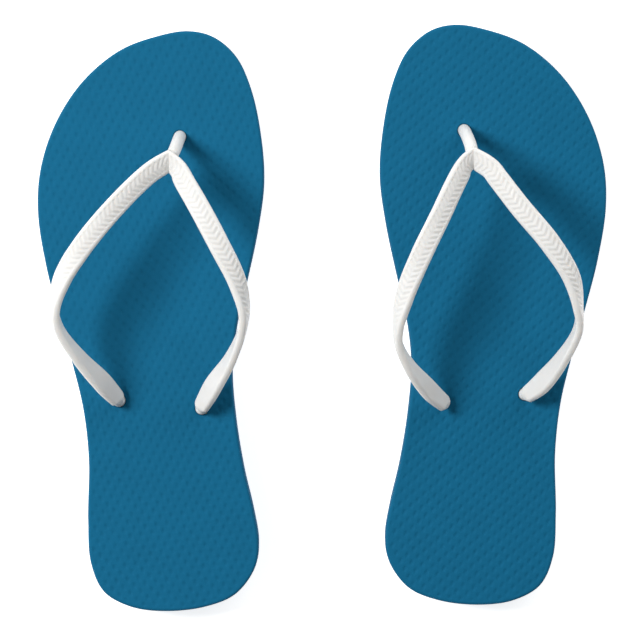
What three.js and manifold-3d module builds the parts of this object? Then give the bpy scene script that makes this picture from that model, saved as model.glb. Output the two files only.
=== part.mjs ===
// A pair of thong sandals (flip flops), toes towards +Y, standing on the plane Z = 0.
//
// Each shoe has a laminated foam sole (footbed, midsole wedge, outsole) and one moulded strap: a toe
// post, a yoke, two arms, three stems that go down through the sole and a flat disc under each stem.
// The soles bend across the ball of the foot, so each layer is made as a front and a rear half that
// meet on the bend line. Units are millimetres.
//
// In a shoe's own coordinates x runs from the outer side of the foot (-) to the big toe side (+),
// y runs from the heel (0) to the toe, and z is the height above the ground.

import * as THREE from "three";
import Module from "manifold-3d";
import { mergeVertices } from "three/addons/utils/BufferGeometryUtils.js";

const wasm = await Module();
wasm.setup();

// ---- Driving dimensions -------------------------------------------------------------------------

const SOLE_LENGTH = 254;
const HEEL_HEIGHT = 17.5; // top of the footbed at the heel
const TOE_HEIGHT = 13.5; // top of the footbed at the toe
const FOOTBED_THICKNESS = 4;
const OUTSOLE_THICKNESS = 4;
const GLUE_GAP = 0.3; // between layers that touch, and between the two halves of a layer
const RIM_ROUND = 1.2; // rounding of the footbed's upper rim
const BEND_LINE = 172; // distance of the bend line from the heel

const SHOE_SPREAD = 74.8; // from the middle of the pair to the middle of a shoe
const SHOE_STAGGER = 1.4; // the right shoe stands this far ahead, the left this far behind

const STEM_RADIUS = 3.0;
const STEM_CLEARANCE = 0.35;
const DISC_RADIUS = 7.2;
const DISC_THICKNESS = 2.6;
const DISC_RECESS_RADIUS = 8.2;
const DISC_BOTTOM = 0.9; // the discs stay above the ground

const STRAP_THICKNESS = 3.2;
const POST_RADIUS = 3.0;

// Where the three stems enter the footbed.
const POST_HOLE = { x: 12.5, y: 207.5 };
const OUTER_HOLE = { x: -14, y: 92 };
const INNER_HOLE = { x: 22.2, y: 88.6 };
const STEM_HOLES = [POST_HOLE, OUTER_HOLE, INNER_HOLE];

const FOAM_BLUE = 0x18668a;
const FOAM_BLUE_DEEP = 0x145a7c;
const STRAP_WHITE = 0xecece8;

// ---- Sole ---------------------------------------------------------------------------------------

// Outline of the sole, once round from the back of the heel along the big toe side.
const SOLE_OUTLINE = [
  [6, 0],
  [24, 2],
  [37, 7.5],
  [45.5, 19],
  [47, 30],
  [44.8, 44],
  [40.6, 62],
  [37, 84],
  [35.4, 106],
  [37.6, 126],
  [42.2, 146],
  [46.8, 168],
  [49.3, 188],
  [48, 208],
  [43.6, 229],
  [37, 243],
  [27, 251.5],
  [16, SOLE_LENGTH],
  [2, 251.6],
  [-14, 245.4],
  [-30, 232],
  [-42, 213.5],
  [-48.6, 193],
  [-49.6, 174],
  [-46, 151],
  [-40.6, 130],
  [-34.4, 108],
  [-29.6, 88],
  [-27.2, 66],
  [-27.5, 40],
  [-26.2, 21],
  [-20.5, 8.5],
  [-9, 2],
];
const OUTLINE_SEGMENTS = 84;
const HOLE_SEGMENTS = 8;

function footbedTop(y) {
  return HEEL_HEIGHT + ((TOE_HEIGHT - HEEL_HEIGHT) * y) / SOLE_LENGTH;
}

function soleShape(holeRadius) {
  const rim = SOLE_OUTLINE.map(([x, y]) => new THREE.Vector3(x, y, 0));
  const curve = new THREE.CatmullRomCurve3(rim, true, "centripetal");
  const points = curve.getSpacedPoints(OUTLINE_SEGMENTS).slice(0, -1);
  const shape = new THREE.Shape(points.map((p) => new THREE.Vector2(p.x, p.y)));
  for (const hole of STEM_HOLES) {
    const ring = new THREE.Path();
    ring.absarc(hole.x, hole.y, holeRadius, 0, 2 * Math.PI, true);
    shape.holes.push(ring);
  }
  return shape;
}

// A flat plate of the sole's outline from z = 0 to z = 1, as a solid.
function plainPlate(holeRadius) {
  const geometry = new THREE.ExtrudeGeometry(soleShape(holeRadius), {
    depth: 1,
    bevelEnabled: false,
    curveSegments: HOLE_SEGMENTS,
  });
  return toSolid(geometry);
}

// The footbed's plate, of its true thickness, with its upper rim rounded.
function roundedPlate(holeRadius) {
  const buried = 2 * RIM_ROUND; // the lower bevel lies in this part, which is cut away
  const geometry = new THREE.ExtrudeGeometry(soleShape(holeRadius), {
    depth: FOOTBED_THICKNESS + buried - 2 * RIM_ROUND,
    bevelEnabled: true,
    bevelThickness: RIM_ROUND,
    bevelSize: RIM_ROUND,
    bevelOffset: -RIM_ROUND,
    bevelSegments: 2,
    curveSegments: HOLE_SEGMENTS,
  });
  geometry.translate(0, 0, RIM_ROUND - buried);
  return toSolid(geometry).subtract(slab(-SOLE_LENGTH, 2 * SOLE_LENGTH, -SOLE_LENGTH, 0));
}

// One half of a plate, on its side of the bend line.
function halfPlate(plate, isFront) {
  const edge = GLUE_GAP / 2;
  const [low, high] = isFront ? [BEND_LINE + edge, 2 * SOLE_LENGTH] : [-SOLE_LENGTH, BEND_LINE - edge];
  return plate.intersect(slab(low, high, -SOLE_LENGTH, SOLE_LENGTH));
}

function slab(yLow, yHigh, zLow, zHigh) {
  const box = new THREE.BoxGeometry(2 * SOLE_LENGTH, yHigh - yLow, zHigh - zLow);
  box.translate(0, (yLow + yHigh) / 2, (zLow + zHigh) / 2);
  return toSolid(box);
}

// Moves each point of a plate to the height that heightAt gives for its y and its plate height.
function setHeights(geometry, heightAt) {
  const position = geometry.getAttribute("position");
  for (let i = 0; i < position.count; i += 1) {
    position.setZ(i, heightAt(position.getY(i), position.getZ(i)));
  }
  return geometry;
}

function footbed(isFront) {
  const plate = roundedPlate(STEM_RADIUS + STEM_CLEARANCE);
  const heightAt = (y, t) => footbedTop(y) - FOOTBED_THICKNESS + t;
  return setHeights(toGeometry(halfPlate(plate, isFront)), heightAt);
}

function midsole(isFront) {
  const plate = plainPlate(STEM_RADIUS + STEM_CLEARANCE);
  const bottom = OUTSOLE_THICKNESS + GLUE_GAP;
  const heightAt = (y, t) => bottom + t * (footbedTop(y) - FOOTBED_THICKNESS - GLUE_GAP - bottom);
  return setHeights(toGeometry(halfPlate(plate, isFront)), heightAt);
}

function outsole(isFront) {
  const plate = plainPlate(DISC_RECESS_RADIUS);
  const heightAt = (y, t) => t * OUTSOLE_THICKNESS;
  return setHeights(toGeometry(halfPlate(plate, isFront)), heightAt);
}

// ---- Strap --------------------------------------------------------------------------------------

// Each row is a station on an arm's centre line, from the yoke to its stem: x, y, z, roll, width.
// roll is how far the arm's outer face has turned from facing up (0) to facing outwards (90); past
// 90 the smooth inner face shows from above.
const YOKE_WIDTH = 6.6;
const SHOULDER_WIDTH = 10.4;
const ARM_WIDTH = 9.2;
const PADDLE_WIDTH = 10.6;
const TIP_WIDTH = 7.6;

const LEFT_OUTER_ARM = [
  [10.6, 200, 38.5, -16, YOKE_WIDTH],
  [1.4, 189.9, 43.5, -18, SHOULDER_WIDTH],
  [-13.6, 175, 48, -8, ARM_WIDTH],
  [-27.8, 158, 50, 12, ARM_WIDTH],
  [-36.4, 144.5, 49, 40, ARM_WIDTH],
  [-39, 133, 46.8, 75, ARM_WIDTH],
  [-37.4, 124, 43.5, 96, ARM_WIDTH],
  [-30, 110.8, 36, 118, PADDLE_WIDTH],
  [-20.6, 99.6, 27.5, 132, PADDLE_WIDTH],
  [-14.2, 92.8, 20.6, 138, TIP_WIDTH],
];
const LEFT_INNER_ARM = [
  [10.6, 200, 38.5, -16, YOKE_WIDTH],
  [13.8, 188, 43.5, -18, SHOULDER_WIDTH],
  [22, 176, 47.5, -8, ARM_WIDTH],
  [31.4, 159.4, 50, 12, ARM_WIDTH],
  [38.8, 143.6, 49, 40, ARM_WIDTH],
  [41.6, 130.5, 46.5, 75, ARM_WIDTH],
  [40, 121.6, 42.5, 96, ARM_WIDTH],
  [34.8, 109.8, 34.5, 118, PADDLE_WIDTH],
  [27.4, 98.4, 26.5, 132, PADDLE_WIDTH],
  [22.4, 89.8, 20.6, 138, TIP_WIDTH],
];
const RIGHT_OUTER_ARM = [
  [11, 198, 38.5, -16, YOKE_WIDTH],
  [0.5, 184.4, 43.5, -18, SHOULDER_WIDTH],
  [-9.6, 172.6, 47.5, -8, ARM_WIDTH],
  [-22.4, 157.4, 50, 12, ARM_WIDTH],
  [-31.2, 142.8, 49, 40, ARM_WIDTH],
  [-34.6, 129, 46.5, 75, ARM_WIDTH],
  [-34.2, 120.6, 43.5, 96, ARM_WIDTH],
  [-28.6, 107.6, 35, 118, PADDLE_WIDTH],
  [-20.4, 97.6, 26.5, 132, PADDLE_WIDTH],
  [-14.2, 92.2, 20.6, 138, TIP_WIDTH],
];
const RIGHT_INNER_ARM = [
  [11, 198, 38.5, -16, YOKE_WIDTH],
  [16.2, 184.2, 43.5, -18, SHOULDER_WIDTH],
  [24.4, 169, 47.8, -8, ARM_WIDTH],
  [32.6, 152.6, 50, 12, ARM_WIDTH],
  [39.6, 135.2, 49, 40, ARM_WIDTH],
  [42.4, 121, 46, 75, ARM_WIDTH],
  [41.2, 112.8, 42.5, 96, ARM_WIDTH],
  [36.4, 103.8, 36, 118, PADDLE_WIDTH],
  [28.6, 94.4, 27.5, 132, PADDLE_WIDTH],
  [21.6, 88.2, 20.6, 138, TIP_WIDTH],
];
const LEFT_YOKE = { x: 10.6, y: 200, z: 38.5 };
const RIGHT_YOKE = { x: 11, y: 198, z: 38.5 };

const ARM_STEPS = 30;
const POST_STEPS = 10;
const ROUND_SEGMENTS = 16;
const SECTION_CORNER = 0.4; // corner radius of the arm's section, as a share of its thickness

// The section of an arm, one unit wide and one unit thick, with rounded long edges.
function armSection() {
  const half = 0.5;
  const endWidth = (SECTION_CORNER * STRAP_THICKNESS) / ARM_WIDTH;
  const shape = new THREE.Shape();
  shape.moveTo(-half + endWidth, -half);
  shape.lineTo(half - endWidth, -half);
  shape.quadraticCurveTo(half, -half, half, 0);
  shape.quadraticCurveTo(half, half, half - endWidth, half);
  shape.lineTo(-half + endWidth, half);
  shape.quadraticCurveTo(-half, half, -half, 0);
  shape.quadraticCurveTo(-half, -half, -half + endWidth, -half);
  return shape;
}

// A straight extrusion whose depth is bent along the stations: outward is the side, -1 or +1, that
// the arm bulges to.
function bentArm(stations, outward) {
  const geometry = new THREE.ExtrudeGeometry(armSection(), {
    depth: 1,
    steps: ARM_STEPS,
    bevelEnabled: false,
    curveSegments: 3,
  });
  const path = new THREE.CatmullRomCurve3(
    stations.map(([x, y, z]) => new THREE.Vector3(x, y, z)),
    false,
    "centripetal",
  );
  const shaping = new THREE.CatmullRomCurve3(
    stations.map(([, , , roll, width]) => new THREE.Vector3(roll, width, 0)),
    false,
    "catmullrom",
  );
  const up = new THREE.Vector3(0, 0, 1);
  const position = geometry.getAttribute("position");
  for (let i = 0; i < position.count; i += 1) {
    const along = Math.min(Math.max(position.getZ(i), 0), 1);
    const centre = path.getPoint(along);
    const forward = path.getTangent(along);
    const [roll, width] = shaping.getPoint(along).toArray();
    const side = new THREE.Vector3().crossVectors(forward, up).normalize();
    side.multiplyScalar(Math.sign(side.x) * outward);
    const lift = up.clone().addScaledVector(forward, -up.dot(forward)).normalize();
    const turn = THREE.MathUtils.degToRad(roll);
    const across = side.clone().multiplyScalar(Math.cos(turn)).addScaledVector(lift, -Math.sin(turn));
    const face = lift.clone().multiplyScalar(Math.cos(turn)).addScaledVector(side, Math.sin(turn));
    const point = centre
      .addScaledVector(across, position.getX(i) * width)
      .addScaledVector(face, position.getY(i) * STRAP_THICKNESS);
    position.setXYZ(i, point.x, point.y, point.z);
  }
  return toSolid(geometry);
}

// The round toe post, from inside the sole up to the yoke.
function toePost(yoke) {
  const section = new THREE.Shape();
  section.absarc(0, 0, 1, 0, 2 * Math.PI, false);
  const geometry = new THREE.ExtrudeGeometry(section, {
    depth: 1,
    steps: POST_STEPS,
    bevelEnabled: false,
    curveSegments: ROUND_SEGMENTS / 2,
  });
  const top = footbedTop(POST_HOLE.y);
  const path = new THREE.CatmullRomCurve3(
    [
      new THREE.Vector3(POST_HOLE.x, POST_HOLE.y, top - FOOTBED_THICKNESS),
      new THREE.Vector3(POST_HOLE.x, POST_HOLE.y, top + 2),
      new THREE.Vector3(POST_HOLE.x - 0.4, POST_HOLE.y - 2, top + 11),
      new THREE.Vector3(yoke.x + 0.4, yoke.y + 1.4, yoke.z - 4),
      new THREE.Vector3(yoke.x, yoke.y, yoke.z),
    ],
    false,
    "centripetal",
  );
  const across = new THREE.Vector3(1, 0, 0);
  const position = geometry.getAttribute("position");
  for (let i = 0; i < position.count; i += 1) {
    const along = Math.min(Math.max(position.getZ(i), 0), 1);
    const centre = path.getPoint(along);
    const face = new THREE.Vector3().crossVectors(path.getTangent(along), across).normalize();
    const point = centre
      .addScaledVector(across, position.getX(i) * POST_RADIUS)
      .addScaledVector(face, position.getY(i) * POST_RADIUS);
    position.setXYZ(i, point.x, point.y, point.z);
  }
  return toSolid(geometry);
}

// A stem with its retaining disc, from just above the ground up to the given height.
function stem(hole, top) {
  const profile = [
    new THREE.Vector2(0, DISC_BOTTOM),
    new THREE.Vector2(DISC_RADIUS - 0.8, DISC_BOTTOM),
    new THREE.Vector2(DISC_RADIUS, DISC_BOTTOM + 0.8),
    new THREE.Vector2(DISC_RADIUS, DISC_BOTTOM + DISC_THICKNESS - 0.6),
    new THREE.Vector2(DISC_RADIUS - 0.6, DISC_BOTTOM + DISC_THICKNESS),
    new THREE.Vector2(STEM_RADIUS, DISC_BOTTOM + DISC_THICKNESS),
    new THREE.Vector2(STEM_RADIUS, top),
    new THREE.Vector2(0, top),
  ];
  const geometry = new THREE.LatheGeometry(profile, ROUND_SEGMENTS);
  geometry.rotateX(Math.PI / 2);
  geometry.translate(hole.x, hole.y, 0);
  return toSolid(geometry);
}

function strap(outerArm, innerArm, yoke) {
  const stemTop = outerArm[outerArm.length - 1][2];
  return toGeometry(
    bentArm(outerArm, -1)
      .add(bentArm(innerArm, 1))
      .add(toePost(yoke))
      .add(stem(POST_HOLE, footbedTop(POST_HOLE.y)))
      .add(stem(OUTER_HOLE, stemTop))
      .add(stem(INNER_HOLE, stemTop)),
  );
}

// ---- Solids and meshes --------------------------------------------------------------------------

function toSolid(geometry) {
  const bare = geometry.clone();
  bare.deleteAttribute("normal");
  bare.deleteAttribute("uv");
  const merged = mergeVertices(bare, 1e-4);
  const volume = signedVolume(merged);
  const triVerts = Uint32Array.from(merged.index.array);
  if (volume < 0) {
    for (let i = 0; i < triVerts.length; i += 3) {
      [triVerts[i + 1], triVerts[i + 2]] = [triVerts[i + 2], triVerts[i + 1]];
    }
  }
  const vertProperties = Float32Array.from(merged.getAttribute("position").array);
  return new wasm.Manifold(new wasm.Mesh({ numProp: 3, vertProperties, triVerts }));
}

function signedVolume(geometry) {
  const position = geometry.getAttribute("position");
  const index = geometry.index.array;
  const [a, b, c] = [new THREE.Vector3(), new THREE.Vector3(), new THREE.Vector3()];
  let volume = 0;
  for (let i = 0; i < index.length; i += 3) {
    a.fromBufferAttribute(position, index[i]);
    b.fromBufferAttribute(position, index[i + 1]);
    c.fromBufferAttribute(position, index[i + 2]);
    volume += a.dot(b.cross(c)) / 6;
  }
  return volume;
}

function toGeometry(solid) {
  const mesh = solid.getMesh();
  const geometry = new THREE.BufferGeometry();
  geometry.setAttribute("position", new THREE.BufferAttribute(Float32Array.from(mesh.vertProperties), 3));
  geometry.setIndex(new THREE.BufferAttribute(Uint32Array.from(mesh.triVerts), 1));
  return geometry;
}

// Mirrors a left shoe's geometry into a right shoe's, keeping the faces pointing out.
function mirrored(geometry) {
  geometry.scale(-1, 1, 1);
  const index = geometry.index.array;
  for (let i = 0; i < index.length; i += 3) {
    [index[i + 1], index[i + 2]] = [index[i + 2], index[i + 1]];
  }
  return geometry;
}

function named(name, geometry, color, roughness) {
  geometry.computeVertexNormals();
  const material = new THREE.MeshStandardMaterial({ color, roughness, metalness: 0 });
  const mesh = new THREE.Mesh(geometry, material);
  mesh.name = name;
  return mesh;
}

// ---- The pair -----------------------------------------------------------------------------------

function shoe(side) {
  const isLeft = side === "left";
  const place = isLeft ? (geometry) => geometry : mirrored;
  const group = new THREE.Group();
  for (const isFront of [true, false]) {
    const half = isFront ? "front" : "rear";
    group.add(named(`${side}_footbed_${half}`, place(footbed(isFront)), FOAM_BLUE, 0.75));
    group.add(named(`${side}_midsole_${half}`, place(midsole(isFront)), FOAM_BLUE_DEEP, 0.8));
    group.add(named(`${side}_outsole_${half}`, place(outsole(isFront)), FOAM_BLUE, 0.8));
  }
  const strapGeometry = isLeft
    ? strap(LEFT_OUTER_ARM, LEFT_INNER_ARM, LEFT_YOKE)
    : strap(RIGHT_OUTER_ARM, RIGHT_INNER_ARM, RIGHT_YOKE);
  group.add(named(`${side}_strap`, place(strapGeometry), STRAP_WHITE, 0.45));
  const across = isLeft ? -SHOE_SPREAD : SHOE_SPREAD;
  const ahead = isLeft ? -SHOE_STAGGER : SHOE_STAGGER;
  group.position.set(across, ahead - SOLE_LENGTH / 2, 0);
  return group;
}

const pair = new THREE.Group();
pair.add(shoe("left"));
pair.add(shoe("right"));

export default pair;
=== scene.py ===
# The looks of a pair of thong sandals: foam soles with a rice-grain footbed, and moulded Y straps.
#
# A shoe's sizes and places are millimetres in its own coordinates until solid() turns them into metres
# in the frame: x runs from the outer side of the foot (-) to the big toe side (+), y from the heel (0)
# to the toe and z up from the ground. A right shoe is made in a left shoe's coordinates and mirrored
# as it goes into the frame: the two soles are alike, and each strap has stations of its own. The
# materials, the floor, the lamps and the camera are in metres.
import math
import bpy
import numpy as np
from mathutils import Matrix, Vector
from mathutils.geometry import delaunay_2d_cdt


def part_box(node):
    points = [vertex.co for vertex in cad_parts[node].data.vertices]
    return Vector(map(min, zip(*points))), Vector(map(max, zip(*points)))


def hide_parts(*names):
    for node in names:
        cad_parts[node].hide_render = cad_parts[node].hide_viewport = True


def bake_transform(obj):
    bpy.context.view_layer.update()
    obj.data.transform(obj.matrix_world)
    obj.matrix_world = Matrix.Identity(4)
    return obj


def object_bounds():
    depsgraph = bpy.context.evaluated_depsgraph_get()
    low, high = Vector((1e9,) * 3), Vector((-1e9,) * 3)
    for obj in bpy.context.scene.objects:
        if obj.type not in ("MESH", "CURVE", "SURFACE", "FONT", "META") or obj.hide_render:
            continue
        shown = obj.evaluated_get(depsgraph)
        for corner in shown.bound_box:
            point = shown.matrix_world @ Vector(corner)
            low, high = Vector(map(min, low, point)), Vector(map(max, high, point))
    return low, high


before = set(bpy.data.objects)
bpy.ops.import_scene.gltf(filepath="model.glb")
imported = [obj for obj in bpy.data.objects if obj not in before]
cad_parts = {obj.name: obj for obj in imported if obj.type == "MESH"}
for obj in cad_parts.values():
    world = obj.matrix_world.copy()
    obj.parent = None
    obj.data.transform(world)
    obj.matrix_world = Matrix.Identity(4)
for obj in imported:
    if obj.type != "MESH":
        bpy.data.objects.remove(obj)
cad_lowest, cad_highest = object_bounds()

MM = 0.001
SIDES = ("left", "right")
EAST = np.array([1.0, 0.0, 0.0])
UP = np.array([0.0, 0.0, 1.0])

# ---- Sizes of the soles, the same as the CAD model's ----------------------------------------------

SOLE_OUTLINE = [
    (6, 0), (24, 2), (37, 7.5), (45.5, 19), (47, 30), (44.8, 44), (40.6, 62), (37, 84),
    (35.4, 106), (37.6, 126), (42.2, 146), (46.8, 168), (49.3, 188), (48, 208), (43.6, 229),
    (37, 243), (27, 251.5), (16, 254), (2, 251.6), (-14, 245.4), (-30, 232), (-42, 213.5),
    (-48.6, 193), (-49.6, 174), (-46, 151), (-40.6, 130), (-34.4, 108), (-29.6, 88),
    (-27.2, 66), (-27.5, 40), (-26.2, 21), (-20.5, 8.5), (-9, 2),
]
SOLE_LENGTH = 254
FOOTBED_THICKNESS = 4
OUTSOLE_THICKNESS = 4
WEDGE = 4  # the sole is this much thicker at the heel than at the toe

# Where the strap's three stems go through the sole.
POST_HOLE = (12.5, 207.5)
OUTER_HOLE = (-14, 92)
INNER_HOLE = (22.2, 88.6)
STEM_HOLES = (POST_HOLE, OUTER_HOLE, INNER_HOLE)
DISC_RADIUS = 7.2
DISC_BOTTOM = 0.9
DISC_THICKNESS = 2.6
DISC_RECESS_RADIUS = 8.2

# Heights that the frame gives.
HEEL_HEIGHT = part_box("left_footbed_rear")[1].z / MM
TOE_HEIGHT = HEEL_HEIGHT - WEDGE


def footbed_top(y):
    """The height of the sole's upper face."""
    return HEEL_HEIGHT + (TOE_HEIGHT - HEEL_HEIGHT) * y / SOLE_LENGTH


# ---- Sizes of the straps --------------------------------------------------------------------------

# The stems and their holes are a little slimmer than the CAD model's, and near the yoke the arms lie
# a few millimetres from its arms.
STEM_RADIUS = 2.7
HOLE_RADIUS = 2.85
STRAP_THICKNESS = 3.2
YOKE_WIDTH = 10.0
ARM_WIDTH = 9.2
PADDLE_WIDTH = 10.6
TIP_WIDTH = 8.0
END_WIDTH = 6.4

# Stations on each arm's centre line, from the yoke back: x, y, z, roll in degrees, width. The roll is
# how far the outer face has turned from facing up (0) to facing outwards (90).
ARMS = {
    ("left", "outer"): [
        (9.0, 195.5, 38.6, -14, YOKE_WIDTH),
        (1.2, 190.4, 41.8, -24, ARM_WIDTH),
        (-13.8, 175.2, 47.6, -16, ARM_WIDTH),
        (-27.7, 158, 50, 4, ARM_WIDTH),
        (-36, 144.4, 49, 36, ARM_WIDTH),
        (-39, 133, 46.8, 75, ARM_WIDTH),
        (-38, 124, 43.5, 96, ARM_WIDTH),
        (-29.8, 111, 36, 112, PADDLE_WIDTH),
        (-20.2, 100, 27.5, 132, PADDLE_WIDTH),
        (-14.2, 92.8, 20.6, 140, TIP_WIDTH),
    ],
    ("left", "inner"): [
        (9.0, 195.5, 38.6, -14, YOKE_WIDTH),
        (12.6, 192.2, 40.2, -16, ARM_WIDTH),
        (16.4, 185.6, 42.9, -18, ARM_WIDTH),
        (22, 176, 46.8, -8, ARM_WIDTH),
        (31, 159.2, 50, 12, ARM_WIDTH),
        (38.6, 143.6, 49, 40, ARM_WIDTH),
        (41.6, 130.5, 46.5, 75, ARM_WIDTH),
        (40.2, 121.6, 42.5, 96, ARM_WIDTH),
        (35, 109.7, 34.5, 112, PADDLE_WIDTH),
        (27.4, 98.4, 26.5, 132, PADDLE_WIDTH),
        (22.2, 89.6, 20.6, 140, TIP_WIDTH),
    ],
    ("right", "outer"): [
        (9.8, 194.1, 38.6, -14, YOKE_WIDTH),
        (2.8, 189.5, 41.4, -16, ARM_WIDTH),
        (-0.7, 184.9, 43.2, -18, ARM_WIDTH),
        (-9.8, 172.6, 47.2, -8, ARM_WIDTH),
        (-22.3, 157.3, 50, 12, ARM_WIDTH),
        (-31.5, 142.6, 49, 40, ARM_WIDTH),
        (-34.7, 129, 46.5, 75, ARM_WIDTH),
        (-34.8, 120.4, 43.5, 96, ARM_WIDTH),
        (-28.6, 107.6, 35, 112, PADDLE_WIDTH),
        (-20.6, 97.2, 26.5, 132, PADDLE_WIDTH),
        (-14.5, 91.8, 20.6, 140, TIP_WIDTH),
    ],
    ("right", "inner"): [
        (9.8, 194.1, 38.6, -14, YOKE_WIDTH),
        (12.7, 191.5, 40, -20, ARM_WIDTH),
        (16.9, 184.4, 42.9, -24, ARM_WIDTH),
        (24.3, 168.9, 47.4, -16, ARM_WIDTH),
        (32.3, 152.5, 50, 4, ARM_WIDTH),
        (39.4, 135.1, 48.2, 36, ARM_WIDTH),
        (42.4, 121, 44.8, 75, ARM_WIDTH),
        (41.4, 112.8, 41.4, 96, ARM_WIDTH),
        (36.6, 103.6, 36, 112, PADDLE_WIDTH),
        (28.6, 94.4, 27.5, 132, PADDLE_WIDTH),
        (21.4, 88, 20.6, 140, TIP_WIDTH),
    ],
}


# ---- Curves ---------------------------------------------------------------------------------------


TINY = 1e-9  # keeps a share below a whole number and a gap above nothing


def spline(points, at, closed=False, uniform=False):
    """Points of a Catmull-Rom curve at the shares 0 to 1 in at.

    A uniform curve gives each span the same share of its speed. The other kind, the centripetal one,
    goes by the length of the spans and never loops at a sharp turn.
    """
    points = np.asarray(points, float)
    count = len(points)
    spans = count if closed else count - 1
    place = np.clip(np.asarray(at, float) * spans, 0, spans - TINY)
    first = place.astype(int)
    share = (place - first)[:, None]
    if closed:
        before, start, end, after = (points[(first + k) % count] for k in (-1, 0, 1, 2))
    else:
        padded = np.vstack([2 * points[0] - points[1], points, 2 * points[-1] - points[-2]])
        before, start, end, after = (padded[first + k] for k in (0, 1, 2, 3))
    if uniform:
        leave = (end - before) / 2
        arrive = (after - start) / 2
    else:
        first_gap, gap, last_gap = (np.sqrt(np.linalg.norm(b - a, axis=1))[:, None] + TINY
                                    for a, b in ((before, start), (start, end), (end, after)))
        speed = (end - start) / gap
        leave = (start - before) / first_gap - (end - before) / (first_gap + gap) + speed
        arrive = speed - (after - start) / (gap + last_gap) + (after - end) / last_gap
        leave = leave * gap
        arrive = arrive * gap
    square = share ** 2
    cube = share ** 3
    return ((2 * cube - 3 * square + 1) * start + (cube - 2 * square + share) * leave
            + (3 * square - 2 * cube) * end + (cube - square) * arrive)


def evenly(points, step, closed=False):
    """The same line with points step apart."""
    line = np.vstack([points, points[:1]]) if closed else np.asarray(points)
    gone = length_so_far(line)
    count = max(int(round(gone[-1] / step)), 2)
    if closed:
        wanted = np.linspace(0, gone[-1], count, endpoint=False)
    else:
        wanted = np.linspace(0, gone[-1], count + 1)
    return rows_at(line, gone, wanted)


def length_so_far(line):
    """The length of a line from its start to each of its points."""
    return np.concatenate([[0], np.cumsum(np.linalg.norm(np.diff(line, axis=0), axis=1))])


def rows_at(rows, gone, wanted):
    """Rows of numbers in between the given ones, which stand at the lengths in gone."""
    return np.stack([np.interp(wanted, gone, rows[:, k]) for k in range(rows.shape[1])], axis=1)


def smoothstep(value, low, high):
    """0 below low, 1 above high and a soft S in between."""
    share = np.clip((value - low) / (high - low), 0, 1)
    return share * share * (3 - 2 * share)


# ---- Meshes ---------------------------------------------------------------------------------------


class Surface:
    """Collects the points and faces of one closed surface. A point is a row of numbers."""

    def __init__(self):
        self.parts = []
        self.faces = []
        self.count = 0

    def add(self, rows):
        """Adds points and gives their numbers."""
        first = self.count
        self.parts.append(np.asarray(rows, float))
        self.count += len(rows)
        return np.arange(first, self.count)

    def band(self, upper, lower):
        """Faces between two rings of the same length."""
        corners = np.stack([upper, np.roll(upper, -1), np.roll(lower, -1), lower], axis=1)
        self.faces += [tuple(face) for face in corners.tolist()]

    def fan(self, ring, centre):
        """Closes the last ring of a tube with triangles to a centre point, or a reversed first one."""
        middle = np.full(len(ring), self.add([centre])[0])
        corners = np.stack([ring, np.roll(ring, -1), middle], axis=1)
        self.faces += [tuple(face) for face in corners.tolist()]

    def rows(self):
        """All the points, in the order of their numbers."""
        return np.vstack(self.parts)


def into_frame(side, points):
    """Millimetres in a shoe's own coordinates to metres in the frame."""
    lowest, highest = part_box(f"{side}_outsole_front")
    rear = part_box(f"{side}_outsole_rear")[0].y
    outer_edge, sign = (lowest.x, 1) if side == "left" else (highest.x, -1)
    placed = np.array(points, float) * MM
    placed[:, 0] = outer_edge + sign * (placed[:, 0] - OUTLINE[:, 0].min() * MM)
    placed[:, 1] += rear
    return placed


def solid(name, side, points, faces):
    """A smooth-shaded object whose faces point out."""
    mesh = bpy.data.meshes.new(name)
    mesh.from_pydata(into_frame(side, points).tolist(), [], faces)
    point_out(mesh)
    thing = bpy.data.objects.new(name, mesh)
    bpy.context.scene.collection.objects.link(thing)
    return thing


def point_out(mesh):
    """Flips the faces of a closed mesh if they point in, and shades it smooth."""
    mesh.calc_loop_triangles()
    corners = np.empty(len(mesh.loop_triangles) * 3, np.int32)
    mesh.loop_triangles.foreach_get("vertices", corners)
    spots = np.empty(len(mesh.vertices) * 3)
    mesh.vertices.foreach_get("co", spots)
    a, b, c = spots.reshape(-1, 3)[corners.reshape(-1, 3)].transpose(1, 0, 2)
    if (a * np.cross(b, c)).sum() < 0:
        mesh.flip_normals()
    mesh.polygons.foreach_set("use_smooth", [True] * len(mesh.polygons))
    mesh.update()


def mark(thing, name, values):
    """Stores one number for each point, which the piece's material reads."""
    layer = thing.data.attributes.new(name, "FLOAT", "POINT")
    layer.data.foreach_set("value", np.asarray(values, np.float32))


# ---- Sole layers ----------------------------------------------------------------------------------

OUTLINE_STEP = 0.8
OUTLINE_SAMPLES = 4000
OUTLINE = evenly(spline(SOLE_OUTLINE, np.linspace(0, 1, OUTLINE_SAMPLES, endpoint=False), closed=True),
                 OUTLINE_STEP, closed=True)
HOLE_POINTS = 40
GLUE_LINE = 0.05  # the gap left at each glue line
EDGE_ROUND = 0.3  # of a layer's edge beside a glue line
RIM_ROUND = 1.2
TREAD_ROUND = 0.9
ROUND_STEPS = 4
FOOTBED_WALL_STEPS = 4
MIDSOLE_WALL_STEPS = 5
OUTSOLE_WALL_STEPS = 4
FOOTBED_GRID = 0.56
TREAD_GRID = 0.75
HIDDEN_GRID = 4.0
GRID_CLEARANCE = 0.6  # grid spacings between the grid and an edge
ROW_RATIO = math.sqrt(0.75)  # of a triangular grid's row spacing to its point spacing
POINTS_AT_ONCE = 4000  # whose distances are worked out together, to save memory

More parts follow.
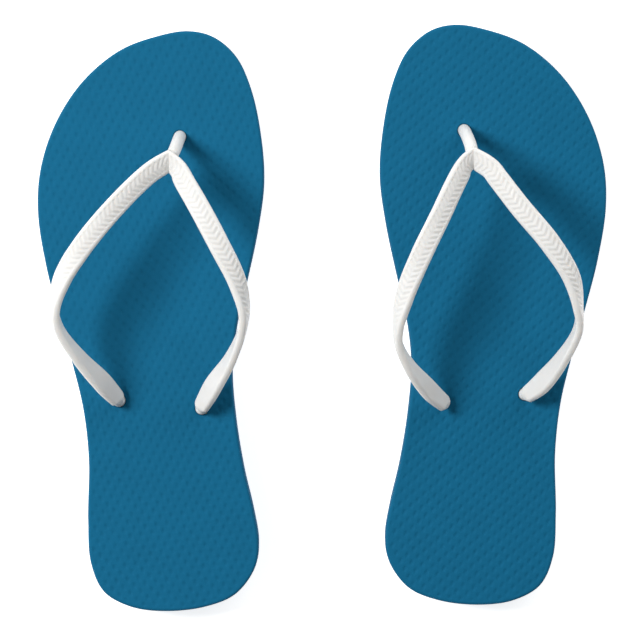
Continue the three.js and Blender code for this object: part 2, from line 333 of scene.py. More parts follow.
# The walls of a hole from the top down, as rows of (how much wider the hole is, share of the way up,
# extra height).
PLAIN_HOLE_WALL = [(0, 1, 0), (0, 0.5, 0), (0, 0, 0)]
ROUNDED_HOLE_WALL = [(0.45, 1, 0), (0.3, 1, -0.05), (0.1, 1, -0.2), (0, 1, -0.5), (0, 0.5, 0), (0, 0, 0)]
RECESS_WALL = [(0, 1, 0), (0, 0.5, 0), (0, 0, 0.5), (0.15, 0, 0.15), (0.5, 0, 0)]


def inwards(ring):
    """The unit normals that point into a counterclockwise ring."""
    along = np.roll(ring, -1, axis=0) - np.roll(ring, 1, axis=0)
    along /= np.linalg.norm(along, axis=1)[:, None]
    return np.stack([-along[:, 1], along[:, 0]], axis=1)


def circle(centre, radius):
    """A ring of points, counterclockwise."""
    angle = np.linspace(0, math.tau, HOLE_POINTS, endpoint=False)
    return np.asarray(centre) + radius * np.stack([np.cos(angle), np.sin(angle)], axis=1)


def distance_to(points, line):
    """Each point's distance from the nearest point of a line of many points."""
    nearest = np.empty(len(points))
    for first in range(0, len(points), POINTS_AT_ONCE):
        some = slice(first, first + POINTS_AT_ONCE)
        gap = points[some, None, :] - line[None, :, :]
        nearest[some] = np.sqrt((gap ** 2).sum(axis=2).min(axis=1))
    return nearest


def inside(points, ring):
    """True for each point inside the ring, by the even-odd rule, row by row."""
    result = np.zeros(len(points), bool)
    start, end = ring, np.roll(ring, -1, axis=0)
    for y in np.unique(points[:, 1]):
        crossed = (start[:, 1] > y) != (end[:, 1] > y)
        a, b = start[crossed], end[crossed]
        walls = np.sort(a[:, 0] + (y - a[:, 1]) / (b[:, 1] - a[:, 1]) * (b[:, 0] - a[:, 0]))
        row = points[:, 1] == y
        result[row] = np.searchsorted(walls, points[row, 0]) % 2 == 1
    return result


def grid_inside(ring, hole_radius, spacing):
    """A triangular grid inside the ring, clear of its edge and of the three holes."""
    low, high = ring.min(axis=0), ring.max(axis=0)
    rows = []
    for number, y in enumerate(np.arange(low[1], high[1], spacing * ROW_RATIO)):
        x = np.arange(low[0] + number % 2 * spacing / 2, high[0], spacing)
        rows.append(np.stack([x, np.full(len(x), y)], axis=1))
    grid = np.vstack(rows)
    grid = grid[inside(grid, ring)]
    clearance = GRID_CLEARANCE * spacing
    free = distance_to(grid, ring) > clearance
    for centre in STEM_HOLES:
        free &= np.linalg.norm(grid - centre, axis=1) > hole_radius + clearance
    return grid[free]


INSIDE_EDGES = 1  # the kind of Delaunay result that keeps the triangles inside the outer edges
MERGE_DISTANCE = 1e-6


def cover(surface, rim, holes, hole_radius, spacing, share):
    """Triangles over the face inside the rim and outside the holes, on a grid."""
    rows = surface.rows()
    loops = [rim] + holes
    grid = grid_inside(rows[rim][:, :2], hole_radius, spacing)
    new = surface.add(np.column_stack([grid, np.full(len(grid), share), np.zeros(len(grid))]))
    flat = np.vstack([rows[loop][:, :2] for loop in loops] + [grid])
    edges = []
    first = 0
    for loop in loops:
        edges += [(first + k, first + (k + 1) % len(loop)) for k in range(len(loop))]
        first += len(loop)
    spots = [Vector(point) for point in flat.tolist()]
    triangles, came_from = delaunay_2d_cdt(spots, edges, [], INSIDE_EDGES, MERGE_DISTANCE)[2:4]
    number = np.concatenate(loops + [new])
    back = np.array([number[old[0]] for old in came_from])
    corners = back[np.array(triangles)]
    hole_of = np.full(surface.count, -1)
    for k, loop in enumerate(holes):
        hole_of[loop] = k
    owner = hole_of[corners]
    in_hole = (owner[:, 0] >= 0) & (owner[:, 0] == owner[:, 1]) & (owner[:, 1] == owner[:, 2])
    return corners[~in_hole]


def arc(radius, steps, share, from_top):
    """(inset, share, extra height) rows round a layer's edge, from the face to the wall."""
    sign = -1 if from_top else 1
    angles = [math.pi / 2 * k / steps for k in range(steps + 1)]
    return [(radius * (1 - math.sin(a)), share, sign * radius * (1 - math.cos(a))) for a in angles]


def plate(wall, hole_wall, hole_radius, top_grid, bottom_grid):
    """A plate of the sole's outline with three holes, whose points are (x, y, share, extra).

    The height of a point is share of the way from the plate's bottom to its top, plus extra. wall
    and hole_wall list (inset, share, extra) from the top face's edge down to the bottom face's.
    """
    surface = Surface()
    normal = inwards(OUTLINE)

    def ring(points, share, extra):
        tail = np.tile([share, extra], (len(points), 1))
        return surface.add(np.column_stack([points, tail]))

    rings = [ring(OUTLINE + normal * inset, share, extra) for inset, share, extra in wall]
    for upper, lower in zip(rings, rings[1:]):
        surface.band(lower, upper)
    tops, bottoms = [], []
    for centre in STEM_HOLES:
        loops = [ring(circle(centre, hole_radius + inset), share, extra)
                 for inset, share, extra in hole_wall]
        for upper, lower in zip(loops, loops[1:]):
            surface.band(upper, lower)
        tops.append(loops[0])
        bottoms.append(loops[-1])
    top = cover(surface, rings[0], tops, hole_radius + hole_wall[0][0], top_grid, 1)
    bottom = cover(surface, rings[-1], bottoms, hole_radius + hole_wall[-1][0], bottom_grid, 0)
    surface.faces += [tuple(face) for face in top.tolist()]
    surface.faces += [tuple(face[::-1]) for face in bottom.tolist()]
    return surface


def wall_between(top_round, bottom_round, steps):
    """Rows for the wall of a layer, with both edges rounded."""
    middle = [(0, 1 - k / steps, 0) for k in range(1, steps)]
    upper_edge = arc(top_round, ROUND_STEPS, 1, True)
    lower_edge = arc(bottom_round, ROUND_STEPS, 0, False)[::-1]
    return upper_edge + middle + lower_edge


def heights(rows, bottom, top):
    """The height of each of a plate's points, between a bottom and a top that are functions of y."""
    y = rows[:, 1]
    return bottom(y) + rows[:, 2] * (top(y) - bottom(y)) + rows[:, 3]


# The rice grains pressed into the footbed: each is a small long hollow, and they stand in rows.
GRAIN_STEPS = np.array([(1.8, 3.4), (-2.95, 2.6)])  # from a grain to the next, along and across rows
GRAIN_HALF_WIDTH = 0.95
GRAIN_HALF_LENGTH = 1.75
GRAIN_TURN = math.radians(20)  # of the grain's length, from straight ahead towards the little toe
GRAIN_DEPTH = 0.33
GRAIN_RANDOM = 0.35  # how much the grains differ in depth
GRAIN_STEEPNESS = 1.3
GRAIN_BORDER = (1.3, 2.2)  # the grains fade in over this distance from the rim
GRAIN_HOLE_BORDER = (0.5, 1.6)  # and over this one from a stem hole
DIMPLE_DEPTH = 0.35  # the foam is drawn down round a stem
DIMPLE_REACH = 1.3
HASH_TURNS = (12.9898, 78.233)  # the usual numbers of a sine hash
HASH_SCALE = 43758.5453


def chance(sites):
    """A number from 0 to 1 for each grain, which looks random and is always the same."""
    return np.modf(np.abs(np.sin(sites @ HASH_TURNS) * HASH_SCALE))[0]


def grain(x, y):
    """How deep a point of the footbed lies in a grain, from 0 to 1."""
    spots = np.stack([x, y], axis=1)
    nearest = np.round(spots @ np.linalg.inv(GRAIN_STEPS))
    deepest = np.zeros(len(spots))
    for one in (-1, 0, 1):
        for other in (-1, 0, 1):
            site = nearest + (one, other)
            gap = spots - site @ GRAIN_STEPS
            across = gap[:, 0] * math.cos(GRAIN_TURN) + gap[:, 1] * math.sin(GRAIN_TURN)
            along = gap[:, 1] * math.cos(GRAIN_TURN) - gap[:, 0] * math.sin(GRAIN_TURN)
            reach = (across / GRAIN_HALF_WIDTH) ** 2 + (along / GRAIN_HALF_LENGTH) ** 2
            size = 1 - GRAIN_RANDOM * chance(site)
            deepest = np.maximum(deepest, size * np.clip(1 - reach, 0, 1) ** GRAIN_STEEPNESS)
    return deepest


def hole_distance(x, y):
    """How far each point lies from the middle of the nearest stem hole."""
    return np.min([np.hypot(x - hx, y - hy) for hx, hy in STEM_HOLES], axis=0)


def footbed(side):
    """The top layer, with its grains and a dimple round each stem."""
    wall = wall_between(RIM_ROUND, EDGE_ROUND, FOOTBED_WALL_STEPS)
    surface = plate(wall, ROUNDED_HOLE_WALL, HOLE_RADIUS, FOOTBED_GRID, HIDDEN_GRID)
    rows = surface.rows()
    x, y = rows[:, 0], rows[:, 1]
    z = heights(rows, lambda at: footbed_top(at) - FOOTBED_THICKNESS, footbed_top)
    on_top = (rows[:, 2] == 1) & (rows[:, 3] == 0)
    edge = np.zeros(len(rows))
    edge[on_top] = distance_to(rows[on_top][:, :2], OUTLINE)
    away = hole_distance(x, y) - HOLE_RADIUS
    hollow = np.where(on_top, grain(x, y), 0)
    hollow *= smoothstep(edge, *GRAIN_BORDER) * smoothstep(away, *GRAIN_HOLE_BORDER)
    z -= GRAIN_DEPTH * hollow
    z -= DIMPLE_DEPTH * np.exp(-np.clip(away, 0, None) / DIMPLE_REACH) * (rows[:, 2] == 1)
    thing = solid(f"{side}_footbed", side, np.column_stack([x, y, z]), surface.faces)
    # The material paints shade into the grains by this depth.
    mark(thing, "hollow", hollow)
    return thing


def midsole(side):
    """The wedge between the other two layers."""
    wall = wall_between(EDGE_ROUND, EDGE_ROUND, MIDSOLE_WALL_STEPS)
    surface = plate(wall, PLAIN_HOLE_WALL, HOLE_RADIUS, HIDDEN_GRID, HIDDEN_GRID)
    rows = surface.rows()
    z = heights(rows, lambda at: OUTSOLE_THICKNESS + GLUE_LINE + 0 * at,
                lambda at: footbed_top(at) - FOOTBED_THICKNESS - GLUE_LINE)
    return solid(f"{side}_midsole", side, np.column_stack([rows[:, :2], z]), surface.faces)


# The tread: wavy grooves across the sole, inside a plain border.
TREAD_PITCH = 5.4
TREAD_WAVE = 15.0
TREAD_SWING = 2.0
TREAD_DEPTH = 1.1
TREAD_FLOOR = 0.085  # the flat bottom of a groove ends at this share of the pitch from its middle
TREAD_EDGE = 0.204  # and its wall ends at this one
TREAD_BORDER = (3.9, 4.5)  # the grooves fade in over this distance from the sole's edge
TREAD_DISC_BORDER = (2.4, 3.0)  # and over this one from a disc's recess


def tread(x, y):
    """How deep a point of the underside lies in a groove, from 0 to 1."""
    phase = (y + TREAD_SWING * np.sin(math.tau * x / TREAD_WAVE)) / TREAD_PITCH
    off_middle = np.abs(np.mod(phase, 1) - 0.5)
    return 1 - smoothstep(off_middle, TREAD_FLOOR, TREAD_EDGE)


def outsole(side):
    """The bottom layer, with its tread and the discs' recesses."""
    wall = wall_between(EDGE_ROUND, TREAD_ROUND, OUTSOLE_WALL_STEPS)
    surface = plate(wall, RECESS_WALL, DISC_RECESS_RADIUS, HIDDEN_GRID, TREAD_GRID)
    rows = surface.rows()
    x, y = rows[:, 0], rows[:, 1]
    z = heights(rows, lambda at: 0 * at, lambda at: OUTSOLE_THICKNESS + 0 * at)
    under = (rows[:, 2] == 0) & (rows[:, 3] == 0)
    edge = np.zeros(len(rows))
    edge[under] = distance_to(rows[under][:, :2], OUTLINE)
    away = hole_distance(x, y) - DISC_RECESS_RADIUS
    groove = np.where(under, tread(x, y), 0)
    groove *= smoothstep(edge, *TREAD_BORDER) * smoothstep(away, *TREAD_DISC_BORDER)
    z += TREAD_DEPTH * groove
    thing = solid(f"{side}_outsole", side, np.column_stack([x, y, z]), surface.faces)
    # The material paints shade into the tread grooves by this depth.
    mark(thing, "hollow", groove)
    return thing


# ---- Strap ----------------------------------------------------------------------------------------

ARM_SAMPLES = 1500
ARM_STEP = 0.3
FACE_POINTS = 36
EDGE_POINTS = 5
BACK_POINTS = 14
EDGE_WIDTH = 1.0  # of the rounded edge, seen from above
CROWN = 0.5  # the outer face is this much higher in the middle than at its edges
BACK_CROWN = 0.15  # and the inner one this much
RIM_START = (0.78, 0.90)  # the smooth rims rise between these shares of the half width
PANEL_DEPTH = 0.30  # of the panel between the rims
PANEL_START = (0.6, 1.8)  # the panel sinks over this distance from the yoke
PANEL_END = 0.62  # and ends at this share of the arm's length
PANEL_FADE = (-6, 3)  # over this distance from there
RIB_HEIGHT = 0.26
RIB_PITCH = 2.58
RIB_ANGLE = math.radians(57)  # between a rib and the arm's length
RIB_ROUNDNESS = 0.8
CREASE_SLOPE = math.radians(14)  # of the line where a yoke's two arms meet, up towards the toes
MITRE_REACH = 14.0  # an arm's section turns from that line to square across over this length
OVERLAP = 0.3  # each arm runs this far through the crease
END_REACH = 2.2  # from an arm's last station to its end, seen from above
END_DROP = 0.8
END_ROLL = 158
CAP = 3.0  # length of the rounded end of an arm
CAP_TIP = 0.02  # a cap ends at this share of its width, squared, and is closed by a fan


def normalised(rows):
    """Each row as a vector of length one."""
    return rows / np.linalg.norm(rows, axis=1)[:, None]


def arm_line(side, which):
    """Centres, across and face directions and widths at even steps along an arm."""
    stations = np.array(ARMS[side, which], float)
    ahead = stations[-1, :2] - stations[-2, :2]
    end = stations[-1, :2] + ahead / np.linalg.norm(ahead) * END_REACH
    stations = np.vstack([stations, (*end, stations[-1, 2] - END_DROP, END_ROLL, END_WIDTH)])
    at = np.linspace(0, 1, ARM_SAMPLES)
    centre = spline(stations[:, :3], at)
    roll_width = spline(stations[:, 3:], at, uniform=True)
    leave = (centre[1] - centre[0]) / np.linalg.norm(centre[1] - centre[0])
    line = np.vstack([np.append(centre[0] - leave * OVERLAP, roll_width[0]),
                      np.column_stack([centre, roll_width])])
    gone = length_so_far(line[:, :3])
    wanted = np.linspace(0, gone[-1], int(gone[-1] / ARM_STEP))
    line = rows_at(line, gone, wanted)
    centre = line[:, :3]
    roll = np.radians(line[:, 3])
    width = line[:, 4]
    forward = normalised(np.gradient(centre, axis=0))
    sideways = normalised(np.cross(forward, UP))
    outward = -1 if which == "outer" else 1
    sideways *= (np.sign(sideways[:, 0]) * outward)[:, None]
    lift = normalised(UP - forward * forward[:, 2:3])
    across = sideways * np.cos(roll)[:, None] - lift * np.sin(roll)[:, None]
    face = lift * np.cos(roll)[:, None] + sideways * np.sin(roll)[:, None]
    crease = np.array([0, math.cos(CREASE_SLOPE), math.sin(CREASE_SLOPE)])
    crease_face = np.array([0, -math.sin(CREASE_SLOPE), math.cos(CREASE_SLOPE)])
    square = 1 - (1 - np.clip((wanted - OVERLAP) / MITRE_REACH, 0, 1)[:, None]) ** 2
    across = normalised(across * square + crease * (1 - square))
    face = normalised(face * square + crease_face * (1 - square))
    return centre, across, face, width, wanted


def relief(u, half_width, gone, length):
    """Height of the crowned outer face over its edges: ribs in a sunk panel between smooth rims."""
    off_middle = np.abs(u)
    panel = 1 - smoothstep(off_middle, *RIM_START)
    panel *= smoothstep(gone, *PANEL_START)
    panel *= 1 - smoothstep(gone - PANEL_END * length, *PANEL_FADE)
    phase = (gone + off_middle * half_width / math.tan(RIB_ANGLE)) / RIB_PITCH
    wave = 0.5 + 0.5 * np.cos(math.tau * phase)
    return CROWN * (1 - u ** 2) + panel * (RIB_HEIGHT * wave ** RIB_ROUNDNESS - PANEL_DEPTH)


def domed(left, length, tip):
    """The share of its full width that a round end has, at a distance left from its tip."""
    return math.sqrt(max(1 - (1 - min(left / length, 1)) ** 2, tip))


def arm(side, which):
    """One arm of a strap, from the crease at the yoke to its rounded end."""
    centre, across, face, width, gone = arm_line(side, which)
    length = gone[-1]
    front = np.linspace(-1, 1, FACE_POINTS)
    back = np.linspace(1, -1, BACK_POINTS)
    turn = np.linspace(0, math.pi, EDGE_POINTS + 2)[1:-1]
    edge = EDGE_WIDTH * np.sin(turn)
    half = STRAP_THICKNESS / 2
    surface = Surface()
    rings = []
    for k in range(len(gone)):
        cap = domed(length - gone[k], CAP, CAP_TIP)
        flat = width[k] / 2 - EDGE_WIDTH
        top = half + relief(front, flat, np.full(FACE_POINTS, gone[k]), length)
        bottom = -half - BACK_CROWN * (1 - back ** 2)
        u = np.concatenate([front * flat, flat + edge, back * flat, -flat - edge])
        v = np.concatenate([top, half * np.cos(turn), bottom, -half * np.cos(turn)])
        ring = centre[k] + np.outer(u * cap, across[k]) + np.outer(v * cap, face[k])
        rings.append(surface.add(ring))
    for one, other in zip(rings, rings[1:]):
        surface.band(one, other)
    surface.fan(rings[0][::-1], centre[0])
    surface.fan(rings[-1], centre[-1])
    return solid(f"{side}_{which}_arm", side, surface.rows(), surface.faces)


# The toe post and the rear stems: round bars on flat discs.
ROUND_POINTS = 40
STEM_SAMPLES = 200
STEM_STEP = 0.5
DISC_DISH = 0.35  # the middle of a disc's underside lies this much higher
STEM_START = DISC_BOTTOM + DISC_THICKNESS + 1  # the fillet between disc and stem ends below this
STEM_SINK = 0.9  # a rear stem's top lies this far under the end of its arm's centre line
STEM_BEND = 3.0  # a rear stem leaves its hole's line this far under the arm
POST_TOP = (10.7, 199.2, 35.5)  # where the toe post meets the yoke
POST_REACH = (0.6, 1.8, 0.4)  # from the yoke's first station to the end of the post
POST_FOOT = 0.5  # the post stands straight up to this far under the footbed's face
DOME_TIP = 0.01  # a bar ends at this share of its width, squared, and is closed by a fan


def disc_profile():
    """(radius, height) of a stem's disc, from the middle of its underside to the stem."""
    low = DISC_BOTTOM
    high = DISC_BOTTOM + DISC_THICKNESS
    return [(1.6, low + DISC_DISH), (2.0, low + 0.1), (2.6, low), (5.0, low), (5.3, low + 0.25),
            (5.8, low + 0.25), (6.1, low), (DISC_RADIUS - 0.5, low), (DISC_RADIUS - 0.15, low + 0.2),
            (DISC_RADIUS, low + 0.6), (DISC_RADIUS, high - 0.5), (DISC_RADIUS - 0.2, high - 0.15),
            (DISC_RADIUS - 0.6, high), (STEM_RADIUS + 0.4, high), (STEM_RADIUS + 0.1, high + 0.15),
            (STEM_RADIUS, high + 0.5)]


def round_bar(name, side, hole, line):
    """A disc under a stem that goes up the hole and then along the line, to a domed end."""
    surface = Surface()
    angle = np.linspace(0, math.tau, ROUND_POINTS, endpoint=False)
    rings = []

    def ring(centre, radius, along):
        north = np.cross(along, EAST)
        north /= np.linalg.norm(north)
        round_it = np.outer(np.cos(angle), EAST) + np.outer(np.sin(angle), north)
        rings.append(surface.add(centre + radius * round_it))

    for radius, height in disc_profile():
        ring(np.array([*hole, height]), radius, UP)
    line = evenly(np.asarray(line, float), STEM_STEP)
    directions = normalised(np.gradient(line, axis=0))
    to_the_end = np.linalg.norm(line - line[-1], axis=1)
    for centre, along, left in zip(line, directions, to_the_end):
        ring(centre, STEM_RADIUS * domed(left, STEM_RADIUS, DOME_TIP), along)
    for one, other in zip(rings, rings[1:]):
        surface.band(one, other)
    surface.fan(rings[0][::-1], (*hole, DISC_BOTTOM + DISC_DISH))
    surface.fan(rings[-1], line[-1])
    return solid(name, side, surface.rows(), surface.faces)


def toe_post(side):
    """The bar between the toes, from its disc up to the yoke."""
    yoke = np.array(ARMS[side, "outer"][0][:3], float)
    x, y = POST_HOLE
    top = footbed_top(y)
    stations = [(x, y, STEM_START), (x, y, top - FOOTBED_THICKNESS), (x, y, top - POST_FOOT),
                POST_TOP, yoke + POST_REACH]
    line = spline(stations, np.linspace(0, 1, STEM_SAMPLES))
    return round_bar(f"{side}_post", side, POST_HOLE, line)


def rear_stem(side, which, hole):
    """The bar from its disc up into the end of an arm."""
    tip = np.array(ARMS[side, which][-1][:3], float)
    line = [(*hole, STEM_START), (*hole, tip[2] - STEM_BEND), tip - (0, 0, STEM_SINK)]
    return round_bar(f"{side}_{which}_stem", side, hole, line)


def joined(name, pieces):
    """One closed surface from overlapping ones."""
    first, *others = pieces
    for other in others:
        join = first.modifiers.new("join", "BOOLEAN")
        join.operation = "UNION"
        join.solver = "MANIFOLD"
        join.object = other
    bpy.context.view_layer.update()
    seen = first.evaluated_get(bpy.context.evaluated_depsgraph_get())
    mesh = bpy.data.meshes.new_from_object(seen)
    for piece in pieces:
        old = piece.data
        bpy.data.objects.remove(piece)
        bpy.data.meshes.remove(old)
    mesh.name = name
    mesh.materials.clear()  # the union leaves an empty slot
    mesh.polygons.foreach_set("use_smooth", [True] * len(mesh.polygons))
    thing = bpy.data.objects.new(name, mesh)
    bpy.context.scene.collection.objects.link(thing)
    return thing


def strap(side):
    """A whole strap moulding."""
    parts = [arm(side, "outer"), arm(side, "inner"), toe_post(side),
             rear_stem(side, "outer", OUTER_HOLE), rear_stem(side, "inner", INNER_HOLE)]
    return joined(f"{side}_strap_moulding", parts)


# ---- Materials ------------------------------------------------------------------------------------

FOAM_BLUE = (0.0030, 0.1180, 0.2330)
FOAM_DEEP = (0.0022, 0.0930, 0.1930)
STRAP_WHITE = (0.73, 0.725, 0.71)
STRAP_CREAM = (0.70, 0.693, 0.672)

NOISE_LOW = 0.3  # most of a noise lies between these two
NOISE_HIGH = 0.7
FOAM_MOTTLE = 90  # scales of the noises, by the metre
FOAM_CELLS = 1500
FOAM_CELL_DEPTH = 0.0001  # metres
FOAM_SPECULAR = 0.12
MOTTLE_SHADES = (0.975, 1.035)  # of the foam's colour, from the dark to the light patches
CELL_SHADE = 0.85
CELL_SHARE = 0.35  # how far the cells' shade comes through
CELL_ROUGHNESS = (-0.08, 0.1)  # the foam's roughness differs by this much from cell to cell
# The painted shade in the hollows of the grains and grooves darkens the foam towards this shade of its
# colour.
HOLLOW_PAINTED_SHADE = 0.55
STRAP_MOTTLE = 140
STRAP_GRAIN = 2600
STRAP_GRAIN_DEPTH = 0.00004
STRAP_ROUGHNESS = 0.5
STRAP_ROUGHNESS_SPREAD = (-0.06, 0.08)
STRAP_SPECULAR = 0.25
STRAP_SUBSURFACE = 0.5  # how milky the rubber is
STRAP_SUBSURFACE_SCALE = 0.003  # and how deep light goes into it, in metres
STRAP_SUBSURFACE_TINT = (1, 0.9, 0.8)


def new_material(name, roughness, specular):
    """A material with its node tree and its shader."""
    material = bpy.data.materials.new(name)
    material.use_nodes = True
    shader = material.node_tree.nodes["Principled BSDF"]
    shader.inputs["Roughness"].default_value = roughness
    shader.inputs["Specular IOR Level"].default_value = specular
    return material, material.node_tree, shader


def noise(tree, scale, detail):
    """A noise from 0 to 1, whose scale goes by the metre."""
    where = tree.nodes.new("ShaderNodeTexCoord")
    texture = tree.nodes.new("ShaderNodeTexNoise")
    texture.inputs["Scale"].default_value = scale
    texture.inputs["Detail"].default_value = detail
    tree.links.new(where.outputs["Object"], texture.inputs["Vector"])
    return texture.outputs["Fac"]


def mottled(tree, value, dark, light):
    """A colour that goes from dark to light over the middle of a noise."""
    mapped = tree.nodes.new("ShaderNodeMapRange")
    mapped.inputs["From Min"].default_value = NOISE_LOW
    mapped.inputs["From Max"].default_value = NOISE_HIGH
    tree.links.new(value, mapped.inputs["Value"])
    return mix(tree, mapped.outputs["Result"], dark, light)


def mix(tree, share, one, other):
    """A colour from one to the other. Each of the two is a colour or a socket that gives one."""
    blend = tree.nodes.new("ShaderNodeMix")
    blend.data_type = "RGBA"
    # The node has sockets for every type of data, and its share comes first.
    factor = next(socket for socket in blend.inputs if socket.type == "VALUE")
    tree.links.new(share, factor)
    ends = [socket for socket in blend.inputs if socket.type == "RGBA"]
    for socket, given in zip(ends, (one, other)):
        if isinstance(given, tuple):
            socket.default_value = (*given, 1)
        else:
            tree.links.new(given, socket)
    return next(socket for socket in blend.outputs if socket.type == "RGBA")


def attribute(tree, name):
    """The number that mark() stored for each point."""
    reader = tree.nodes.new("ShaderNodeAttribute")
    reader.attribute_name = name
    return reader.outputs["Fac"]


def scaled(tree, value, low, high):
    """The value from 0 to 1 as a number from low to high."""
    mapped = tree.nodes.new("ShaderNodeMapRange")
    mapped.inputs["To Min"].default_value = low
    mapped.inputs["To Max"].default_value = high
    tree.links.new(value, mapped.inputs["Value"])
    return mapped.outputs["Result"]


def bump(tree, shader, height, distance, strength):
    """Roughens the surface by a height, over a distance in metres."""
    node = tree.nodes.new("ShaderNodeBump")
    node.inputs["Distance"].default_value = distance
    node.inputs["Strength"].default_value = strength
    tree.links.new(height, node.inputs["Height"])
    tree.links.new(node.outputs["Normal"], shader.inputs["Normal"])


def shade(colour, factor):
    """A darker or a lighter shade of a colour."""
    return tuple(channel * factor for channel in colour)


def foam(name, colour, painted_shade_in_hollows, roughness):
    """Closed-cell foam: a soft mottle, fine cells that pit the surface, and painted shade in the
    hollows.
    """
    material, tree, shader = new_material(name, roughness, FOAM_SPECULAR)
    mottle = noise(tree, FOAM_MOTTLE, detail=3)
    cells = noise(tree, FOAM_CELLS, detail=2)
    dark, light = (shade(colour, factor) for factor in MOTTLE_SHADES)
    tone = mottled(tree, mottle, dark, light)
    tone = mix(tree, scaled(tree, cells, 0, CELL_SHARE), tone, shade(colour, CELL_SHADE))
    # Painted shade: the deeper a point lies in a grain or groove, the darker its colour is made.
    if painted_shade_in_hollows:
        hollow = scaled(tree, attribute(tree, "hollow"), 0, painted_shade_in_hollows)
        tone = mix(tree, hollow, tone, shade(colour, HOLLOW_PAINTED_SHADE))
    tree.links.new(tone, shader.inputs["Base Color"])
    smoothest, roughest = (roughness + spread for spread in CELL_ROUGHNESS)
    tree.links.new(scaled(tree, cells, smoothest, roughest), shader.inputs["Roughness"])
    bump(tree, shader, cells, FOAM_CELL_DEPTH, strength=0.5)
    return material


def strap_rubber():
    """Moulded white rubber: satin, with a faint warm mottle and a fine mould grain."""
    material, tree, shader = new_material("strap_white_rubber", STRAP_ROUGHNESS, STRAP_SPECULAR)
    shader.inputs["Subsurface Weight"].default_value = STRAP_SUBSURFACE
    shader.inputs["Subsurface Radius"].default_value = STRAP_SUBSURFACE_TINT
    shader.inputs["Subsurface Scale"].default_value = STRAP_SUBSURFACE_SCALE
    mottle = noise(tree, STRAP_MOTTLE, detail=3)
    mould_grain = noise(tree, STRAP_GRAIN, detail=2)
    tree.links.new(mottled(tree, mottle, STRAP_CREAM, STRAP_WHITE), shader.inputs["Base Color"])
    smoothest, roughest = (STRAP_ROUGHNESS + spread for spread in STRAP_ROUGHNESS_SPREAD)
    tree.links.new(scaled(tree, mould_grain, smoothest, roughest), shader.inputs["Roughness"])
    bump(tree, shader, mould_grain, STRAP_GRAIN_DEPTH, strength=0.4)
    return material


def floor_material():
    """White, and lit enough from within for its soft shadows to be faint."""
    material, tree, shader = new_material("studio_floor", FLOOR_ROUGHNESS, FLOOR_SPECULAR)
    shader.inputs["Base Color"].default_value = (*FLOOR_WHITE, 1)
    shader.inputs["Emission Color"].default_value = (1, 1, 1, 1)
    shader.inputs["Emission Strength"].default_value = FLOOR_GLOW
    return material


# ---- The pair -------------------------------------------------------------------------------------


def bend(thing):
    """Bakes a piece's placing into its mesh."""
    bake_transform(thing)


def dress(thing, material, nodes):
    """Gives a piece its material and hides the CAD nodes that it stands for."""
    thing.data.materials.append(material)
    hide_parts(*nodes)


def shoe(side, materials):
    """The four pieces of a shoe."""
    for make, slot in ((footbed, "footbed"), (midsole, "midsole"), (outsole, "outsole")):
        thing = make(side)
        dress(thing, materials[slot], [f"{side}_{slot}_front", f"{side}_{slot}_rear"])
        bend(thing)
    thing = strap(side)
    dress(thing, materials["strap"], [f"{side}_strap"])
    bend(thing)


MATERIALS = {
    # The footbed's grains and the outsole's tread grooves get painted shade in their hollows. The
    # midsole gets none.
    "footbed": foam("footbed_blue_foam", FOAM_BLUE, painted_shade_in_hollows=0.13, roughness=0.75),
    "midsole": foam("midsole_blue_foam", FOAM_DEEP, painted_shade_in_hollows=0, roughness=0.8),
    "outsole": foam("outsole_blue_foam", shade(FOAM_BLUE, 0.95), painted_shade_in_hollows=0.2, roughness=0.8),
    "strap": strap_rubber(),
}
for shoe_side in SIDES:
    shoe(shoe_side, MATERIALS)


# ---- Floor, light and camera ----------------------------------------------------------------------

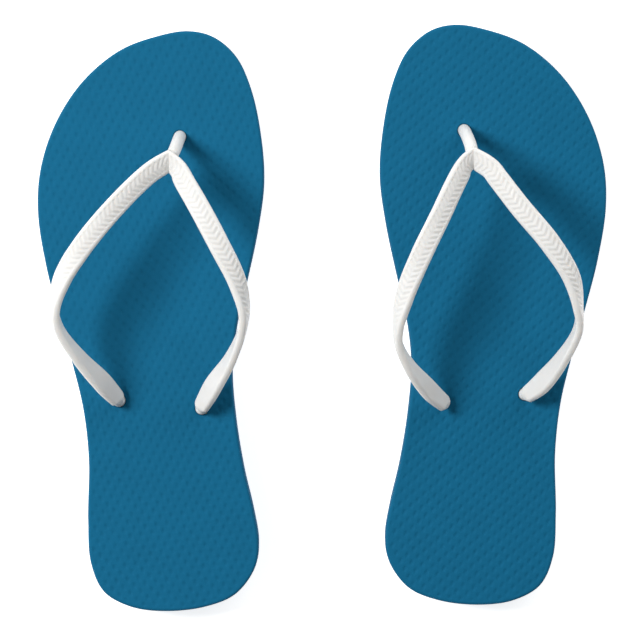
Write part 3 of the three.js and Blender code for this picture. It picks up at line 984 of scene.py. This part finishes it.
MIDDLE = (cad_lowest + cad_highest) / 2
FLOOR_REACH = 4
FLOOR_GAP = 0.0002  # between the floor and the soles
FLOOR_WHITE = (0.85, 0.85, 0.85)
FLOOR_ROUGHNESS = 0.9
FLOOR_SPECULAR = 0.1
FLOOR_GLOW = 0.75
LAMP_DISTANCE = 1.5
KEY_TOWARDS = Vector((-0.94, 0.342, 1.08))  # from the object to the lamp
KEY_SIZE = 0.62
KEY_POWER = 23
FILL_TOWARDS = Vector((0.6, 0.8, 0.42))
FILL_SIZE = 1.5
FILL_POWER = 13
AMBIENT = 0.20
CAMERA_HEIGHT = 1.3
CAMERA_BEHIND = 0.002  # from the middle of the pair towards the heels
VIEW_WIDTH = 0.2813  # across the picture, at the height of the footbed's heel
SENSOR = 36


def floor():
    """A white floor just under the soles, which isn't part of the object."""
    mesh = bpy.data.meshes.new("floor")
    corners = [(x * FLOOR_REACH, y * FLOOR_REACH, cad_lowest.z - FLOOR_GAP)
               for x, y in ((-1, -1), (1, -1), (1, 1), (-1, 1))]
    mesh.from_pydata(corners, [], [(0, 1, 2, 3)])
    thing = bpy.data.objects.new("floor", mesh)
    bpy.context.scene.collection.objects.link(thing)
    mesh.materials.append(floor_material())


def soft_lamp(name, towards, size, power):
    """A round lamp that shines on the middle of the pair."""
    lamp = bpy.data.lights.new(name, "AREA")
    lamp.shape = "DISK"
    lamp.size = size
    lamp.energy = power
    thing = bpy.data.objects.new(name, lamp)
    bpy.context.scene.collection.objects.link(thing)
    thing.location = MIDDLE + towards.normalized() * LAMP_DISTANCE
    thing.rotation_euler = towards.to_track_quat("Z", "Y").to_euler()


def surroundings():
    """Even white light from all sides."""
    world = bpy.data.worlds.new("studio")
    world.use_nodes = True
    background = world.node_tree.nodes["Background"]
    background.inputs["Color"].default_value = (1, 1, 1, 1)
    background.inputs["Strength"].default_value = AMBIENT
    bpy.context.scene.world = world


def camera():
    """A camera straight above the pair, with the toes at the top of the picture."""
    distance = CAMERA_HEIGHT - (cad_lowest.z + HEEL_HEIGHT * MM)
    lens = bpy.data.cameras.new("camera")
    lens.sensor_width = SENSOR
    lens.lens = SENSOR * distance / VIEW_WIDTH
    thing = bpy.data.objects.new("camera", lens)
    bpy.context.scene.collection.objects.link(thing)
    thing.location = (MIDDLE.x, MIDDLE.y - CAMERA_BEHIND, CAMERA_HEIGHT)
    bpy.context.scene.camera = thing


floor()
soft_lamp("key", KEY_TOWARDS, KEY_SIZE, KEY_POWER)
soft_lamp("fill", FILL_TOWARDS, FILL_SIZE, FILL_POWER)
surroundings()
camera()
bpy.context.scene.view_settings.view_transform = "Standard"
